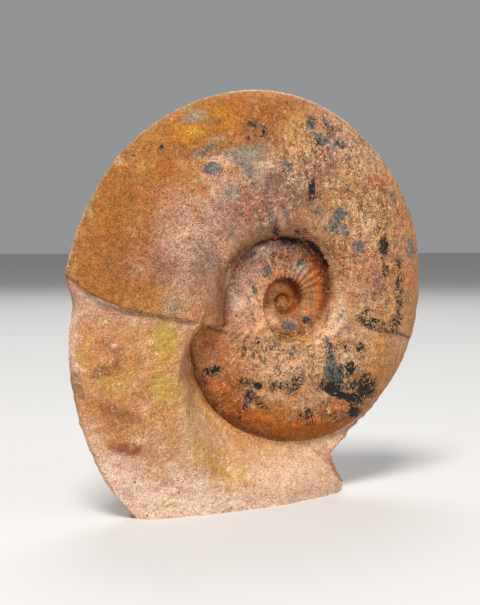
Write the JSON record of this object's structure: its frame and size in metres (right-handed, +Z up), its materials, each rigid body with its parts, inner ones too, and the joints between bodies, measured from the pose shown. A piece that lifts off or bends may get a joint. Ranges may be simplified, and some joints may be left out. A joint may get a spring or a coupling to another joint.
{
  "type": "fossil ammonite",
  "caption": "Fossil ammonite with a keel and an open umbilicus, standing upright in its own pale limestone, which is sawn flat below as a foot.",
  "frame": {"origin": "on the flat face of the foot, under the middle of the whole object's box", "axes": "+Z up from the foot; the keel's plane is the XZ plane; the display side faces -Y; the free lower end of the last whorl is on the -X side"},
  "size_m": [0.227, 0.0494, 0.2225],
  "materials": {
    "shell_mould": "matt fossil mould, ochre, rust and mauve in patches, with slate-grey stains, dark mineral specks and pale worm-like marks",
    "limestone": "matt, fine-grained pink-cream limestone with olive-yellow and brown stains"
  },
  "bodies": {
    "root": {"ammonite": "shell_mould", "matrix": "limestone"}
  },
  "joints": []
}
